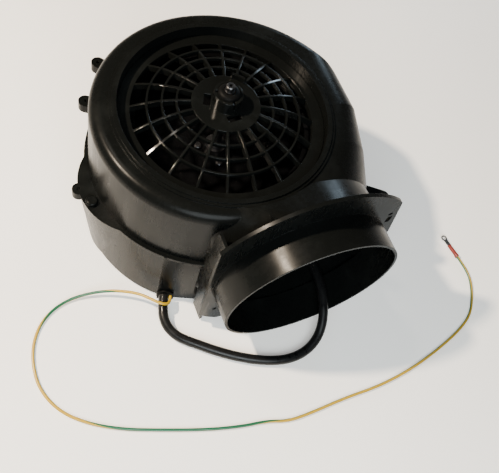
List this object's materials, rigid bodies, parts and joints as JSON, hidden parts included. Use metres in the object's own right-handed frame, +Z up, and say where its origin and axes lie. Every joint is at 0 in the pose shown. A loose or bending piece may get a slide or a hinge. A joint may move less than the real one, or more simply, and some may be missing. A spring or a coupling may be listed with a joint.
{
  "type": "centrifugal blower with motor",
  "caption": "Black plastic scroll casing with a domed inlet grille, a round duct spigot and a motor-driven wheel that turns inside; a cable and an earth wire leave below.",
  "frame": {"origin": "on the underside, at the fan axis, where the casing stands on a flat surface", "axes": "+Z up along the fan axis towards the domed grille, the outlet blows towards -Y, +X to the right of the outlet"},
  "size_m": [0.4174, 0.3292, 0.174],
  "materials": {
    "casing_plastic": "satin black moulded plastic",
    "grille_plastic": "satin black moulded plastic",
    "wheel_plastic": "dark grey moulded plastic",
    "black_rubber": "matte",
    "ground_steel": "ground",
    "dark_steel": "blackened, lightly oiled",
    "zinc_screws": "zinc plated",
    "core_steel": "laminated sheet",
    "cast_aluminium": "die cast",
    "copper_winding": "enamelled copper wire",
    "sintered_bronze": "sintered",
    "cable_sheath": "smooth black sheath",
    "earth_insulation": "yellow with a green stripe",
    "sleeve_plastic": "dark red insulating sleeve",
    "tinned_copper": "tinned",
    "plug_nylon": "natural nylon"
  },
  "bodies": {
    "casing": {"upper_housing": "casing_plastic", "lower_housing": "casing_plastic", "housing_screws": "zinc_screws", "inlet_grille": "grille_plastic", "motor_carrier": "grille_plastic", "motor_dampers": "black_rubber", "mount_screws": "zinc_screws", "lower_end_shield": "cast_aluminium", "upper_end_shield": "cast_aluminium", "lower_bearing": "ground_steel", "upper_bearing": "ground_steel", "stator_core": "core_steel", "stator_windings": "copper_winding", "tie_bolts": "zinc_screws", "top_bearing": "sintered_bronze", "top_bush": "black_rubber", "cable_grommet": "black_rubber", "inner_lead": "cable_sheath", "motor_cable": "cable_sheath", "motor_plug": "plug_nylon", "earth_wire": "earth_insulation", "terminal_sleeve": "sleeve_plastic", "ring_terminal": "tinned_copper"},
    "rotor": {"shaft": "dark_steel", "rotor_core": "core_steel", "rotor_end_rings": "cast_aluminium", "impeller": "wheel_plastic", "impeller_hub": "dark_steel", "hub_screws": "dark_steel", "shaft_clip": "dark_steel"}
  },
  "joints": [
    {"name": "wheel_spin", "type": "hinge", "parent": "casing", "child": "rotor", "pos_m": [0, 0, 0.05], "axis": [0, 0, 1], "continuous": true}
  ]
}
